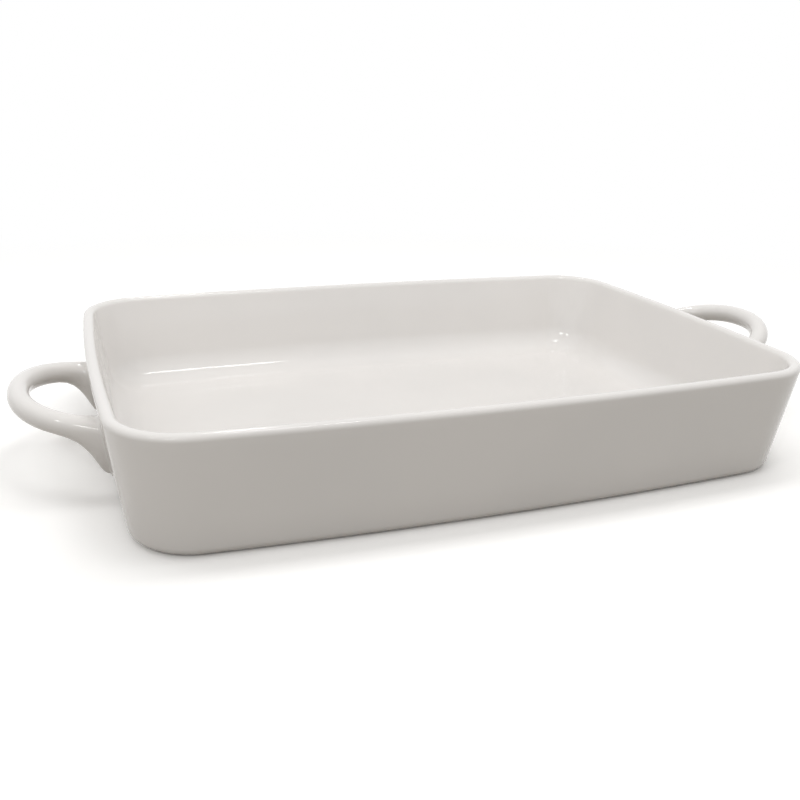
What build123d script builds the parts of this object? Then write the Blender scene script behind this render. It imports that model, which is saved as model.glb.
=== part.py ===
from build123d import *
import math
import os

# Lasagna dish: an open rectangular dish of glazed porcelain with a looped handle at
# each short side. Millimetres, +Z up. The dish stands on its foot ring at z = 0, its
# long side runs along X, and the origin is under the middle of the whole part.
# The two handles are cast by themselves and joined to the finished wall with slip, so
# each is a piece of its own whose root faces follow the wall.

# Dish, outside
RIM_LENGTH = 360.0
RIM_WIDTH = 251.6
DISH_HEIGHT = 59.0
WALL_DRAFT = 7.85          # degrees that the wall leans out
RIM_CORNER = 35.0          # corner radius in plan, at the rim
BASE_CORNER = 30.0         # corner radius in plan, at the foot
LONG_BOW = 6.4             # how far the middle of a long side stands out
SHORT_BOW = 4.1            # how far the middle of a short side stands out
HEEL_RADIUS = 5.7          # round between the wall and the underside

# Dish, walls and floor
RIM_WALL = 5.8
FOOT_WALL = 7.2            # the wall is a little thicker at the floor
FLOOR_THICKNESS = 5.6
FLOOR_ROUND = 18.0         # round between the wall and the floor, inside
LIP_RADIUS = 2.75

# Foot ring under the floor
RECESS_DEPTH = 1.6
FOOT_RING_WIDTH = 5.0
FOOT_EDGE_ROUND = 1.2

# Handle loops, each half a squarish ellipse in plan that rises evenly to its outer end.
# The photograph shows the right loop longer and higher than the left one.
GRIP_WIDTH = 10.4          # thickness of the grip seen from above
GRIP_HEIGHT = 10.8         # thickness of the grip seen from the side
LEFT_REACH = 40.4          # from the wall to the outer edge of the left grip
RIGHT_REACH = 52.0         # the same for the right grip
LEFT_RISE = 6.0            # how much higher than the arms the left loop's outer end is
RIGHT_RISE = 16.5          # the same for the right loop
HANDLE_SPAN = 87.0         # between the centre lines of the two arms at the wall
ARM_LEVEL = 35.8           # height of the arms where they leave the wall

# Handle root, where an arm widens on to the wall
FLARE_LENGTH = 20.0        # how far out from the wall the arm starts to widen
ROOT_TAIL = 17.6           # how far the root runs down the wall below the arm
ROOT_CREST = 0.4           # how far it runs up the wall above the arm
ROOT_INNER = 4.5           # how far it widens towards the inside of the loop
ROOT_OUTER = 3.0           # how far it widens away from the loop

# One handle is longer than the other, so the dish stands off the part's middle
DISH_SHIFT = (LEFT_REACH - RIGHT_REACH) / 2

OVERRUN = 5.0              # how far the cavity's cutter stands above the rim

# Places of the handle's sections: shares of the quarter turn from wall to outer end.
# The first two stand inside the wall and are cut away.
SECTION_SHARES = (-0.08, -0.02, 0.015, 0.045, 0.08, 0.13, 0.21, 0.35, 0.55, 0.77)
SECTION_POINTS = 12        # points that each section's outline runs through
LOOP_POWER = 2.15          # 2 makes the loop an ellipse, more makes it squarer
FLARE_POWER = 3            # how sharply the root widens towards the wall
FLARE_BLEND = 6            # how soon the widening stops where it meets the wall
TAIL_SHARE = 0.6           # how much of the root's width its tail loses on the way down
TURN_STEP = 0.01           # small turn that finds the loop's direction
# A round at an edge takes at most this share of the thickness that carries it
ROUND_SHARE = 0.48


def limited(radius, thickness):
    """A round that still fits on the thickness that carries it."""
    return min(radius, thickness * ROUND_SHARE)


def inset_at(level):
    """How far the outside of the wall stands inside the rim's edge at a height."""
    return (DISH_HEIGHT - level) * math.tan(math.radians(WALL_DRAFT))


def wall_at(level):
    """Thickness of the wall at a height."""
    return FOOT_WALL + (RIM_WALL - FOOT_WALL) * level / DISH_HEIGHT


def corner_at(level):
    """Corner radius of the outside at a height."""
    return BASE_CORNER + (RIM_CORNER - BASE_CORNER) * level / DISH_HEIGHT


def plan_outline(level, inset=0.0):
    """The dish's bowed outline at a height, drawn in by an inset."""
    half_length = RIM_LENGTH / 2 - inset_at(level) - inset
    half_width = RIM_WIDTH / 2 - inset_at(level) - inset
    corner_x = half_length - SHORT_BOW
    corner_y = half_width - LONG_BOW
    sides = [
        ThreePointArc((-corner_x, -corner_y), (0, -half_width), (corner_x, -corner_y)),
        ThreePointArc((corner_x, -corner_y), (half_length, 0), (corner_x, corner_y)),
        ThreePointArc((corner_x, corner_y), (0, half_width), (-corner_x, corner_y)),
        ThreePointArc((-corner_x, corner_y), (-half_length, 0), (-corner_x, -corner_y)),
    ]
    face = make_face(Curve() + sides)
    rounded = fillet(face.vertices(), corner_at(level) - inset)
    return Pos(0, 0, level) * rounded


def outer_block():
    """The dish as a full block, with the leaning outside of its wall."""
    return loft([plan_outline(0), plan_outline(DISH_HEIGHT)], ruled=True)


def edges_at(solid, level):
    """The edges of a solid that lie flat at a height."""
    return solid.edges().filter_by_position(Axis.Z, level, level)


def food_space():
    """The cavity, rounded where the wall meets the floor."""
    floor_level = RECESS_DEPTH + FLOOR_THICKNESS
    top_level = DISH_HEIGHT + OVERRUN
    space = loft(
        [
            plan_outline(floor_level, wall_at(floor_level)),
            plan_outline(top_level, wall_at(top_level)),
        ],
        ruled=True,
    )
    return fillet(edges_at(space, floor_level), FLOOR_ROUND)


def foot_recess():
    """The shallow hollow under the floor that leaves the foot ring standing."""
    ring = plan_outline(0, HEEL_RADIUS + FOOT_RING_WIDTH)
    recess = extrude(ring, RECESS_DEPTH)
    return fillet(edges_at(recess, RECESS_DEPTH), limited(FOOT_EDGE_ROUND, RECESS_DEPTH * 2))


def dish_body():
    """The open dish with its rounded lip, heel and foot ring."""
    block = outer_block()
    block = fillet(edges_at(block, 0), HEEL_RADIUS)
    body = block - food_space() - foot_recess()
    return fillet(edges_at(body, DISH_HEIGHT), limited(LIP_RADIUS, RIM_WALL))


def flare_at(distance):
    """Share of the root's full size at a distance out from the wall."""
    growth = max(0.0, 1.0 - distance / FLARE_LENGTH) ** FLARE_POWER
    return growth / (1.0 + growth ** FLARE_BLEND) ** (1.0 / FLARE_BLEND)


def section_point(around, flare):
    """A point of a section's outline: towards the loop's inside, and up."""
    side, height = math.cos(around), math.sin(around)
    wide = GRIP_WIDTH / 2 + (ROOT_INNER if side > 0 else ROOT_OUTER) * flare
    tall = GRIP_HEIGHT / 2 + (ROOT_CREST if height > 0 else ROOT_TAIL) * flare
    narrowed = 1.0 - TAIL_SHARE * flare * min(0.0, height) ** 2
    return (wide * side * narrowed, tall * height)


def squared(share):
    """A share of the loop's reach or span, for its squarish outline."""
    return math.copysign(abs(share) ** (2 / LOOP_POWER), share)


def loop_point(turn, reach, rise):
    """A point on the loop's centre line, from the wall and the near arm at no turn."""
    middle = reach - GRIP_WIDTH / 2
    out = squared(math.sin(turn))
    return Vector(
        RIM_LENGTH / 2 - inset_at(ARM_LEVEL) + middle * out,
        -squared(math.cos(turn)) * HANDLE_SPAN / 2,
        ARM_LEVEL + rise * max(0.0, out),
    )


def handle_section(turn, reach, rise):
    """The handle's section, square to the loop, at a turn from the near root."""
    place = loop_point(turn, reach, rise)
    ahead = loop_point(turn + TURN_STEP, reach, rise) - loop_point(turn - TURN_STEP, reach, rise)
    flare = flare_at((reach - GRIP_WIDTH / 2) * squared(math.sin(turn)))
    turns = [math.tau * i / SECTION_POINTS for i in range(SECTION_POINTS)]
    ring = Spline([section_point(around, flare) for around in turns], periodic=True)
    plane = Plane(place, x_dir=(-ahead.Y, ahead.X, 0), z_dir=(ahead.X, ahead.Y, 0))
    return plane * make_face(ring)


def handle_loop(reach, rise):
    """A handle at the +X side, its root faces cut to the wall."""
    turns = [share * math.pi / 2 for share in SECTION_SHARES]
    near = [handle_section(turn, reach, rise) for turn in turns]
    tip = [handle_section(math.pi / 2, reach, rise)]
    far = [handle_section(math.pi - turn, reach, rise) for turn in reversed(turns)]
    return loft(near + tip + far) - outer_block()


def main():
    os.makedirs("parts", exist_ok=True)
    pieces = {
        "dish_body": dish_body(),
        "right_handle": handle_loop(RIGHT_REACH, RIGHT_RISE),
        "left_handle": mirror(handle_loop(LEFT_REACH, LEFT_RISE), about=Plane.YZ),
    }
    for name, centred in pieces.items():
        piece = Pos(DISH_SHIFT, 0, 0) * centred
        export_step(piece, f"parts/{name}.step")
        box = piece.bounding_box()
        print(name, len(piece.solids()), round(piece.volume), box.min, box.max)


main()
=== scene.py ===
import math

import bpy
from mathutils import Matrix, Vector


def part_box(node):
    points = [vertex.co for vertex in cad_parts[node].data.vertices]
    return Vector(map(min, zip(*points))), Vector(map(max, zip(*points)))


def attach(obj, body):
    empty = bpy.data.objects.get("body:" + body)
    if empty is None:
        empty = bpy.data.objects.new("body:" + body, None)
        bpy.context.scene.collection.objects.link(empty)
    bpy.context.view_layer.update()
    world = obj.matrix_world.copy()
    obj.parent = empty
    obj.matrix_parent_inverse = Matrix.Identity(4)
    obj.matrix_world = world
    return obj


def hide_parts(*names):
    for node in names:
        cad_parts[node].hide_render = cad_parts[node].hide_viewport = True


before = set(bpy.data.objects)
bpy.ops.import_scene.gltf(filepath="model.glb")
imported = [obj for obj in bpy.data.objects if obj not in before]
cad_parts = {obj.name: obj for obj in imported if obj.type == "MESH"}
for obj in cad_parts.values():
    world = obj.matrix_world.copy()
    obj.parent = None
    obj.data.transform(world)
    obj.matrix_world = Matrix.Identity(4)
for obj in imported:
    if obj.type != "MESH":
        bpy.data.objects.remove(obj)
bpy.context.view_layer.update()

# Sizes in metres. The dish's height comes from the frame, the rest repeats the part's sizes.
# The rim is 0.04 mm narrower than the part's, so that the skin stays inside its box.
MM = 0.001
DISH_LOW, DISH_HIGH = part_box("dish_body")
HEIGHT = DISH_HIGH[2]
DISH_MIDDLE = Vector(((DISH_LOW[0] + DISH_HIGH[0]) / 2, 0, 0))
RIM_LENGTH = 360 * MM
RIM_WIDTH = 251.56 * MM
WALL_SLOPE = math.tan(math.radians(7.85))
RIM_CORNER = 35 * MM
BASE_CORNER = 30 * MM
LONG_BOW = 6.4 * MM
SHORT_BOW = 4.1 * MM
HEEL_RADIUS = 5.7 * MM
RIM_WALL = 5.8 * MM
FOOT_WALL = 7.2 * MM
FLOOR_LEVEL = 7.2 * MM
FLOOR_ROUND = 18 * MM
LIP_RADIUS = 2.78 * MM
RECESS_DEPTH = 1.6 * MM
FOOT_RING_WIDTH = 5 * MM
FOOT_EDGE_ROUND = 1.2 * MM
FLOOR_START = 1.25         # where the flat floor ends, in its round's radii from the wall
FLOOR_SHARES = (0.06, 0.2, 0.35, 0.5, 0.65, 0.8, 0.92)
UNDER_SHARES = (0.92, 0.7, 0.4, 0.1)

GRIP_WIDTH = 10.4 * MM
GRIP_HEIGHT = 10.8 * MM
HANDLE_REACH = {1: 52 * MM, -1: 40.4 * MM}
HANDLE_RISE = {1: 16.5 * MM, -1: 6 * MM}
HANDLE_SPAN = 87 * MM
ARM_LEVEL = 35.8 * MM
FLARE_LENGTH = 20 * MM
FLARE_POWER = 3
FLARE_BLEND = 6
ROOT_TAIL = 17.6 * MM
ROOT_CREST = 0.4 * MM
ROOT_INNER = 4.5 * MM
ROOT_OUTER = 3 * MM
LOOP_POWER = 2.15
TAIL_SHARE = 0.6
TURN_STEP = 0.01           # small turn that finds the loop's heading
SKIN_STEP = 0.002          # small turn that finds the way out of the skin
FREE_TURN = math.radians(38)    # where the root ends and the plain grip begins
ROOT_RINGS = 23
ROOT_GROWTH = 1.3          # how much further from the wall each ring of the root is
WALL_SEARCH = (-math.pi / 20, math.pi / 4)
WALL_HALVINGS = 30

# Glaze and bare clay
GLAZE_COLOUR = (0.85, 0.828, 0.806, 1)
GLAZE_POOLED = (0.83, 0.81, 0.79, 1)
GLAZE_SPECK = (0.42, 0.36, 0.3, 1)
BARE_CLAY = (0.74, 0.7, 0.64, 1)
GLAZE_IOR = 1.5
# Patterns in the glaze and the clay. A scale is the number of bumps to a metre
DRIFT_SCALE, DRIFT_ENDS = 14.0, (0.35, 0.65)
SPECK_SCALE, SPECK_EDGE = 55.0, (0.008, 0.018)
SPECK_CHOICE = (0.955, 0.965)    # a cell has a speck if its random number is over this
SPECK_STRENGTH, SPECK_DULLNESS = 0.5, 0.2
BARE_EDGE = (0.2 * MM, 0.45 * MM)    # heights between which the glaze begins
EDGE_SCALE, EDGE_WANDER = 90.0, 0.5 * MM
GRAIN_SCALE, GRAIN_DETAIL, GRAIN_HEIGHT = 1400.0, 4.0, 0.05 * MM
BARE_ROUGHNESS = 0.75
POLISH_SCALE, POLISH_SPREAD, POLISH_LEAST = 40.0, 0.05, 0.045
WAVE_SCALE, WAVE_DETAIL, WAVE_HEIGHT = 28.0, 0.0, 0.16 * MM
RIPPLE_SCALE, RIPPLE_DETAIL, RIPPLE_HEIGHT = 160.0, 1.0, 0.012 * MM

# The photograph's viewpoint, found from the dish's measured outlines
CAMERA_PLACE = (-0.1857, -0.4506, 0.1925)
CAMERA_TURN, CAMERA_DIP, CAMERA_ROLL = (math.radians(a) for a in (21.08, 19.81, 1.75))
CAMERA_SENSOR = 36
FOCAL_SHARE = 895.05 / 800    # focal length as a share of the picture's width
CLIP_START = 0.01

# Light. A white surface that faces up comes out at about 1, and the seen floor a little
# over it, as white as the photograph's
SKY_COLOUR = (1.0, 0.99, 0.975, 1)
SKY_LEVEL = 0.6
FLOOR_BOUNCE = (0.31, 0.285, 0.25, 1)
FLOOR_SEEN = (1.14, 1.138, 1.132, 1)
FLOOR_FADE = (0.42, 0.75)    # distances between which the seen floor turns plain white
FLOOR_HALF = 6.0
WHITE = (1, 1, 1, 1)

# Lamps: name, place, width, height, brightness as seen
WINDOWS = (
    ("window_front", (-0.84, -1.165, 1.17), 0.35, 0.21, 10.0),
    ("window_side", (-1.36, -0.754, 1.31), 0.18, 0.25, 10.0),
    ("window_above", (0.09, -0.27, 1.1), 0.29, 0.1, 10.0),
)
# The overhead panel is long beside the dish's length and narrow across it, because the
# photograph's shadows are soft sideways and short to the front
OVERHEAD = ("overhead", (0.0, 0.1, 1.6), 1.8, 0.35, 4.0)
LAMP_BEHIND = ("lamp_behind", (0.1, 0.72, 1.5), 0.16, 0.1, 36.0)

# How far the slip joint rounds the root into the wall
JOINT_FILLET = 1.6 * MM
JOINT_BURIED = 0.4 * MM

# Points of the meshes: half a short side, a corner, half a long side, a wall's height
SHORT_STEPS, CORNER_STEPS, LONG_STEPS = 12, 18, 18
WALL_STEPS = 16
ROUND_STEPS = 10
GRIP_STEPS = 64
SECTION_STEPS = 48


def inset_at(level):
    """How far the outside of the wall stands inside the rim's edge at a height."""
    return (HEIGHT - level) * WALL_SLOPE


def wall_at(level):
    """Thickness of the wall at a height."""
    return FOOT_WALL + (RIM_WALL - FOOT_WALL) * level / HEIGHT


def corner_at(level):
    """Corner radius of the outside at a height."""
    return BASE_CORNER + (RIM_CORNER - BASE_CORNER) * level / HEIGHT


def arc(centre, radius, start, end, steps):
    """Points on an arc, without its last one."""
    turns = [start + (end - start) * i / steps for i in range(steps)]
    return [(centre[0] + radius * math.cos(t), centre[1] + radius * math.sin(t)) for t in turns]


def outline(half_length, half_width, corner):
    """The bowed rectangle with its rounded corners, as an even ring of points."""
    corner_x, corner_y = half_length - SHORT_BOW, half_width - LONG_BOW
    short_radius = (corner_y ** 2 + SHORT_BOW ** 2) / (2 * SHORT_BOW)
    long_radius = (corner_x ** 2 + LONG_BOW ** 2) / (2 * LONG_BOW)
    short_centre = Vector((half_length - short_radius, 0))
    long_centre = Vector((0, half_width - long_radius))
    # The corner's round touches both side arcs from inside
    to_long = long_centre - short_centre
    apart = to_long.length
    from_short, from_long = short_radius - corner, long_radius - corner
    along = (apart ** 2 + from_short ** 2 - from_long ** 2) / (2 * apart)
    across = math.sqrt(max(0.0, from_short ** 2 - along ** 2))
    unit = to_long / apart
    centre = short_centre + unit * along + Vector((-unit.y, unit.x)) * across
    low = math.atan2(*(centre - short_centre).yx)
    high = math.atan2(*(centre - long_centre).yx)
    quarter = arc(short_centre, short_radius, 0, low, SHORT_STEPS)
    quarter += arc(centre, corner, low, high, CORNER_STEPS)
    quarter += arc(long_centre, long_radius, high, math.pi / 2, LONG_STEPS)
    mirrored = [(-x, y) for x, y in reversed(quarter[1:])]
    half = quarter + [(0, half_width)] + mirrored
    return half + [(-x, -y) for x, y in half]


def ring_at(inset, level):
    """A level ring of points, drawn in by an inset from the rim's edge line."""
    corner = corner_at(level) - inset + inset_at(level)
    flat = outline(RIM_LENGTH / 2 - inset, RIM_WIDTH / 2 - inset, corner)
    return [Vector((x, y, level)) for x, y in flat]


def placed(name, data):
    """A new object of the scene."""
    thing = bpy.data.objects.new(name, data)
    bpy.context.scene.collection.objects.link(thing)
    return thing


def rounded_path(corners):
    """A path of (inset, level, radius, steps to the next corner) with its corners rounded."""
    points = []
    spots = [Vector(c[:2]) for c in corners]
    for i, (spot, (_, _, radius, _)) in enumerate(zip(spots, corners)):
        if radius == 0:
            bend = [spot]
        else:
            back = (spots[i - 1] - spot).normalized()
            ahead = (spots[i + 1] - spot).normalized()
            half = back.angle(ahead) / 2
            centre = spot + (back + ahead).normalized() * radius / math.sin(half)
            start = spot + back * radius / math.tan(half) - centre
            end = spot + ahead * radius / math.tan(half) - centre
            sweep = start.angle_signed(end)
            bend = []
            for k in range(ROUND_STEPS + 1):
                turn = -sweep * k / ROUND_STEPS
                arm = Matrix.Rotation(turn, 2) @ start
                bend.append(centre + arm)
        if points and corners[i - 1][3] > 1:
            gap = corners[i - 1][3]
            last = points[-1]
            points += [last.lerp(bend[0], k / gap) for k in range(1, gap)]
        points += bend
    return points


def grid_mesh(name, rings):
    """A closed mesh through rings of as many points each, its two ends capped by fans."""
    count = len(rings[0])
    verts = [tuple(p + DISH_MIDDLE) for ring in rings for p in ring]
    faces = []
    for r in range(len(rings) - 1):
        for c in range(count):
            n = (c + 1) % count
            low, high = r * count, (r + 1) * count
            faces.append((low + c, low + n, high + n, high + c))
    for base in (0, (len(rings) - 1) * count):
        centre = sum((Vector(v) for v in verts[base:base + count]), Vector()) / count
        verts.append(tuple(centre))
        for c in range(count):
            n = (c + 1) % count
            face = (base + n, base + c, len(verts) - 1)
            faces.append(face if base == 0 else face[::-1])
    mesh = bpy.data.meshes.new(name)
    mesh.from_pydata(verts, [], faces)
    mesh.validate()
    mesh.shade_smooth()
    return placed(name, mesh)


def shrunk(ring, share):
    """A ring drawn in towards its own middle."""
    return [Vector((p.x * share, p.y * share, p.z)) for p in ring]


def dish_piece():
    """The whole dish as one skin: inside floor, wall, lip, outside wall, foot ring, underside."""
    floor_edge = inset_at(FLOOR_LEVEL) + wall_at(FLOOR_LEVEL)
    floor_inner = floor_edge + FLOOR_ROUND * FLOOR_START
    foot_inner = inset_at(0) + HEEL_RADIUS + FOOT_RING_WIDTH
    under_inner = foot_inner + FOOT_EDGE_ROUND * 2
    corners = [
        (floor_inner, FLOOR_LEVEL, 0, 1),
        (floor_edge, FLOOR_LEVEL, FLOOR_ROUND, WALL_STEPS),
        (RIM_WALL, HEIGHT, LIP_RADIUS, 1),
        (0, HEIGHT, LIP_RADIUS, WALL_STEPS),
        (inset_at(0), 0, HEEL_RADIUS, 2),
        (foot_inner, 0, FOOT_EDGE_ROUND / 2, 1),
        (foot_inner, RECESS_DEPTH, FOOT_EDGE_ROUND / 2, 1),
        (under_inner, RECESS_DEPTH, 0, 1),
    ]
    rings = [ring_at(p.x, p.y) for p in rounded_path(corners)]
    inward = [shrunk(rings[0], share) for share in FLOOR_SHARES]
    under = [shrunk(rings[-1], share) for share in UNDER_SHARES]
    return grid_mesh("dish_body_glazed", inward + rings + under)


def wall_face(y, z):
    """X of the right wall's outside at a place on it, with its bow."""
    half_length = RIM_LENGTH / 2 - inset_at(z)
    corner_y = RIM_WIDTH / 2 - inset_at(z) - LONG_BOW
    radius = (corner_y ** 2 + SHORT_BOW ** 2) / (2 * SHORT_BOW)
    return half_length - radius + math.sqrt(radius ** 2 - y ** 2)


def squared(share):
    """A share of the loop's reach or span, for its squarish outline."""
    return math.copysign(abs(share) ** (2 / LOOP_POWER), share)


def loop_place(turn, side):
    """A point on the loop's centre line, from the wall and the near arm at no turn."""
    out = squared(math.sin(turn))
    return Vector((
        RIM_LENGTH / 2 - inset_at(ARM_LEVEL) + (HANDLE_REACH[side] - GRIP_WIDTH / 2) * out,
        -squared(math.cos(turn)) * HANDLE_SPAN / 2,
        ARM_LEVEL + HANDLE_RISE[side] * max(0.0, out),
    ))


def handle_place(turn, around, side):
    """A point of the handle's skin, as the part's sections run."""
    base = loop_place(turn, side)
    heading = loop_place(turn + TURN_STEP, side) - loop_place(turn - TURN_STEP, side)
    inside = Vector((-heading.y, heading.x, 0)).normalized()
    distance = (HANDLE_REACH[side] - GRIP_WIDTH / 2) * squared(math.sin(turn))
    growth = max(0.0, 1 - distance / FLARE_LENGTH) ** FLARE_POWER
    flare = growth / (1 + growth ** FLARE_BLEND) ** (1 / FLARE_BLEND)
    inward, upward = math.cos(around), math.sin(around)
    wide = GRIP_WIDTH / 2 + (ROOT_INNER if inward > 0 else ROOT_OUTER) * flare
    tall = GRIP_HEIGHT / 2 + (ROOT_CREST if upward > 0 else ROOT_TAIL) * flare
    narrowed = 1 - TAIL_SHARE * flare * min(0.0, upward) ** 2
    return base + inside * wide * inward * narrowed + Vector((0, 0, tall * upward))


def handle_point(turn, around, side):
    """A point of the handle's skin and the way out of it, square to the skin."""
    place = handle_place(turn, around, side)
    ahead = handle_place(turn + SKIN_STEP, around, side)
    behind = handle_place(turn - SKIN_STEP, around, side)
    above = handle_place(turn, around + SKIN_STEP, side)
    below = handle_place(turn, around - SKIN_STEP, side)
    return place, (above - below).cross(ahead - behind).normalized()


def wall_turn(around, side):
    """The turn at which a line along the handle's skin leaves the wall."""
    low, high = WALL_SEARCH
    for _ in range(WALL_HALVINGS):
        middle = (low + high) / 2
        place, _ = handle_point(middle, around, side)
        if place.x > wall_face(place.y, place.z):
            high = middle
        else:
            low = middle
    return high


def root_shares():
    """Steps from the wall to the free arm, close together at the wall."""
    last = ROOT_RINGS - 1
    return [0.0] + [ROOT_GROWTH ** k / ROOT_GROWTH ** last for k in range(ROOT_RINGS)]


def joint_swell(gap):
    """How far the slip joint's round stands out at a gap from the wall."""
    if gap >= JOINT_FILLET:
        return 0.0
    return JOINT_FILLET - math.sqrt(JOINT_FILLET ** 2 - (JOINT_FILLET - gap) ** 2)


def handle_piece(name, side):
    """One handle, from its root on the near wall round to its root on the far wall."""
    arounds = [2 * math.pi * k / SECTION_STEPS for k in range(SECTION_STEPS)]
    starts = [wall_turn(a, side) for a in arounds]
    root = []
    for share in root_shares():
        ring = []
        for around, start in zip(arounds, starts):
            place, away = handle_point(start + (FREE_TURN - start) * share, around, side)
            gap = max(0.0, place.x - wall_face(place.y, place.z))
            ring.append(place + away * joint_swell(gap))
        root.append(ring)
    buried = [p - Vector((JOINT_BURIED, 0, 0)) for p in root[0]]
    root.insert(0, buried)
    span = math.pi - 2 * FREE_TURN
    grip = []
    for k in range(1, GRIP_STEPS):
        turn = FREE_TURN + span * k / GRIP_STEPS
        grip.append([handle_point(turn, around, side)[0] for around in arounds])
    far = []
    for ring in reversed(root):
        far.append([Vector((p.x, -p.y, p.z)) for p in ring])
    rings = root + grip + far
    rings = [[Vector((side * p.x, p.y, p.z)) for p in ring] for ring in rings]
    if side < 0:
        rings = [ring[::-1] for ring in rings]
    return grid_mesh(name, rings)


def joined(tree, kind, **inputs):
    """A node of a kind with its inputs, by name or as i0, i1, set to values or fed by sockets."""
    node = tree.nodes.new(kind)
    for name, value in inputs.items():
        socket = node.inputs[int(name[1:]) if name[1:].isdigit() else name]
        if isinstance(value, bpy.types.NodeSocket):
            tree.links.new(value, socket)
        else:
            socket.default_value = value
    return node


def maths(tree, operation, *values):
    """The result of a math node on numbers or sockets."""
    node = joined(tree, "ShaderNodeMath", **{f"i{i}": value for i, value in enumerate(values)})
    node.operation = operation
    return node.outputs[0]


def seen(tree):
    """1 for the camera and for reflections, 0 for light on its way to a surface."""
    path = tree.nodes.new("ShaderNodeLightPath").outputs
    mirror = maths(tree, "MAXIMUM", path["Is Glossy Ray"], path["Is Transmission Ray"])
    return maths(tree, "MAXIMUM", path["Is Camera Ray"], mirror)


def blend_colour(tree, share, first, second):
    """A colour between two, each a socket or a plain colour."""
    node = tree.nodes.new("ShaderNodeMix")
    node.data_type = "RGBA"
    for slot, value in (("Factor_Float", share), ("A_Color", first), ("B_Color", second)):
        socket = next(i for i in node.inputs if i.identifier == slot)
        if isinstance(value, bpy.types.NodeSocket):
            tree.links.new(value, socket)
        else:
            socket.default_value = value
    return next(o for o in node.outputs if o.identifier == "Result_Color")


def noise_at(tree, place, scale, detail=2.0):
    """Smooth noise about 0.5 with so many bumps to a metre."""
    return joined(tree, "ShaderNodeTexNoise", Vector=place, Scale=scale, Detail=detail).outputs[0]


def ramp(tree, value, low, high):
    """0 below the low end, 1 above the high end, smooth between."""
    node = joined(tree, "ShaderNodeMapRange", Value=value)
    node.interpolation_type = "SMOOTHSTEP"
    node.inputs["From Min"].default_value = low
    node.inputs["From Max"].default_value = high
    return node.outputs[0]


def glaze_material():
    """White porcelain under a clear gloss glaze, bare on the foot ring's face."""
    material = bpy.data.materials.new("white_glaze")
    material.use_nodes = True
    tree = material.node_tree
    shader = tree.nodes["Principled BSDF"]
    place = tree.nodes.new("ShaderNodeTexCoord").outputs["Object"]
    level = joined(tree, "ShaderNodeSeparateXYZ", Vector=place).outputs["Z"]

    # The glaze's tone drifts a little where it ran thicker, and a few iron specks show
    drift = ramp(tree, noise_at(tree, place, DRIFT_SCALE), *DRIFT_ENDS)
    tone = blend_colour(tree, drift, GLAZE_COLOUR, GLAZE_POOLED)
    cells = joined(tree, "ShaderNodeTexVoronoi", Vector=place, Scale=SPECK_SCALE)
    chosen = joined(tree, "ShaderNodeSeparateColor", Color=cells.outputs["Color"]).outputs[0]
    near = maths(tree, "SUBTRACT", 1.0, ramp(tree, cells.outputs["Distance"], *SPECK_EDGE))
    speck = maths(tree, "MULTIPLY", near, ramp(tree, chosen, *SPECK_CHOICE))
    strength = maths(tree, "MULTIPLY", speck, SPECK_STRENGTH)
    tone = blend_colour(tree, strength, tone, GLAZE_SPECK)

    # The foot ring is wiped clean of glaze, with a slightly uneven edge
    wander = maths(tree, "MULTIPLY", noise_at(tree, place, EDGE_SCALE), EDGE_WANDER)
    glazed = ramp(tree, maths(tree, "ADD", level, wander), *BARE_EDGE)
    bare = maths(tree, "SUBTRACT", 1.0, glazed)
    grain = noise_at(tree, place, GRAIN_SCALE, GRAIN_DETAIL)
    clay = blend_colour(tree, grain, BARE_CLAY, GLAZE_POOLED)
    tree.links.new(blend_colour(tree, bare, tone, clay), shader.inputs["Base Color"])

    # The polish is slightly uneven, duller on a speck and matt on the bare clay
    polish = noise_at(tree, place, POLISH_SCALE)
    polish = maths(tree, "MULTIPLY_ADD", polish, POLISH_SPREAD, POLISH_LEAST)
    polish = maths(tree, "ADD", polish, maths(tree, "MULTIPLY", speck, SPECK_DULLNESS))
    matt = maths(tree, "MULTIPLY", bare, BARE_ROUGHNESS)
    tree.links.new(maths(tree, "MAXIMUM", polish, matt), shader.inputs["Roughness"])

    # Slow waves of the cast wall, finer ripple of the glaze, and the clay's grain
    waves = noise_at(tree, place, WAVE_SCALE, WAVE_DETAIL)
    waves = maths(tree, "MULTIPLY", waves, WAVE_HEIGHT)
    ripple = noise_at(tree, place, RIPPLE_SCALE, RIPPLE_DETAIL)
    ripple = maths(tree, "MULTIPLY", ripple, RIPPLE_HEIGHT)
    rough = maths(tree, "MULTIPLY", maths(tree, "MULTIPLY", bare, grain), GRAIN_HEIGHT)
    relief = maths(tree, "ADD", maths(tree, "ADD", waves, ripple), rough)
    bump = joined(tree, "ShaderNodeBump", Strength=1.0, Distance=1.0, Height=relief)
    tree.links.new(bump.outputs[0], shader.inputs["Normal"])
    shader.inputs["IOR"].default_value = GLAZE_IOR
    return material


def camera():
    """The camera at the photograph's viewpoint."""
    data = bpy.data.cameras.new("camera")
    data.sensor_width = CAMERA_SENSOR
    data.lens = CAMERA_SENSOR * FOCAL_SHARE
    data.clip_start = CLIP_START
    eye = placed("camera", data)
    place = Matrix.Translation(DISH_MIDDLE + Vector(CAMERA_PLACE))
    tilt = Matrix.Rotation(math.pi / 2 - CAMERA_DIP, 4, "X")
    aim = Matrix.Rotation(-CAMERA_TURN, 4, "Z") @ tilt
    eye.matrix_world = place @ aim @ Matrix.Rotation(CAMERA_ROLL, 4, "Z")
    bpy.context.scene.camera = eye


def panel_lamp(name, place, width, height, brightness):
    """A bright panel that faces the origin, as bright as stated when seen in the glaze."""
    data = bpy.data.lights.new(name, "AREA")
    data.shape = "RECTANGLE"
    data.size, data.size_y = width, height
    data.energy = brightness * math.pi * width * height
    lamp = placed(name, data)
    lamp.location = place
    lamp.rotation_euler = (Vector() - Vector(place)).to_track_quat("-Z", "Y").to_euler()
    return lamp


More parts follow.
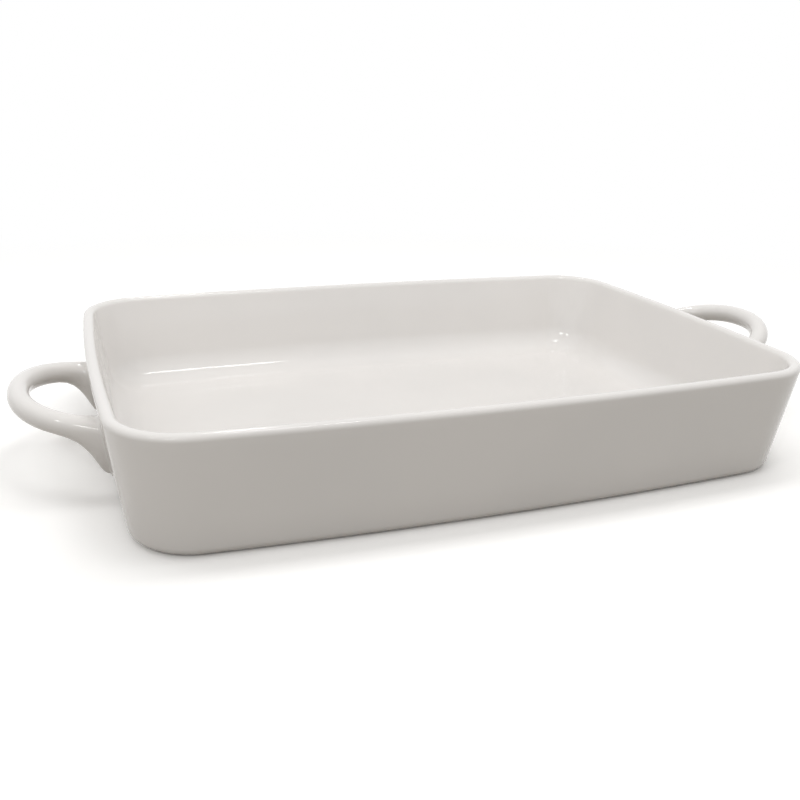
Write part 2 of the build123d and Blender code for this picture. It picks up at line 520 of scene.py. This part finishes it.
def world_light():
    """An even soft sky that is plain white to look at."""
    world = bpy.data.worlds.new("studio")
    bpy.context.scene.world = world
    world.use_nodes = True
    tree = world.node_tree
    sky = joined(tree, "ShaderNodeBackground", Color=SKY_COLOUR, Strength=SKY_LEVEL).outputs[0]
    white = joined(tree, "ShaderNodeBackground", Color=WHITE, Strength=1.0).outputs[0]
    mix = joined(tree, "ShaderNodeMixShader", i0=seen(tree), i1=sky, i2=white).outputs[0]
    tree.links.new(mix, tree.nodes["World Output"].inputs["Surface"])


def floor():
    """A plain white floor that keeps the object's shadow and fades to white far off."""
    signs = ((-1, -1), (1, -1), (1, 1), (-1, 1))
    corners = [(x * FLOOR_HALF, y * FLOOR_HALF, 0) for x, y in signs]
    mesh = bpy.data.meshes.new("floor")
    mesh.from_pydata(corners, [], [(0, 1, 2, 3)])
    ground = placed("floor", mesh)
    material = bpy.data.materials.new("floor_white")
    material.use_nodes = True
    tree = material.node_tree
    tree.nodes.remove(tree.nodes["Principled BSDF"])
    looked_at = seen(tree)
    giving = joined(tree, "ShaderNodeBsdfDiffuse", Color=FLOOR_BOUNCE).outputs[0]
    showing = joined(tree, "ShaderNodeBsdfDiffuse", Color=FLOOR_SEEN).outputs[0]
    near = joined(tree, "ShaderNodeMixShader", i0=looked_at, i1=giving, i2=showing).outputs[0]
    white = joined(tree, "ShaderNodeEmission", Color=WHITE, Strength=1.0).outputs[0]
    place = tree.nodes.new("ShaderNodeNewGeometry").outputs["Position"]
    reach = joined(tree, "ShaderNodeVectorMath", i0=place)
    reach.operation = "LENGTH"
    away = ramp(tree, reach.outputs["Value"], *FLOOR_FADE)
    fade = maths(tree, "MULTIPLY", looked_at, away)
    skin = joined(tree, "ShaderNodeMixShader", i0=fade, i1=near, i2=white).outputs[0]
    tree.links.new(skin, tree.nodes["Material Output"].inputs["Surface"])
    mesh.materials.append(material)


def main():
    bpy.context.scene.view_settings.view_transform = "Standard"
    glaze = glaze_material()
    pieces = {
        "dish_body": dish_piece(),
        "right_handle": handle_piece("right_handle_glazed", 1),
        "left_handle": handle_piece("left_handle_glazed", -1),
    }
    for node, piece in pieces.items():
        piece.data.materials.append(glaze)
        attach(piece, "root")
        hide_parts(node)
    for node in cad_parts.values():
        node.data.materials.clear()
        node.data.materials.append(glaze)
    camera()
    world_light()
    floor()
    for window in WINDOWS:
        panel_lamp(*window)
    # The glaze mirrors the small lamp behind the dish, and not the wide overhead panel
    panel_lamp(*OVERHEAD).visible_glossy = False
    panel_lamp(*LAMP_BEHIND).visible_diffuse = False


main()
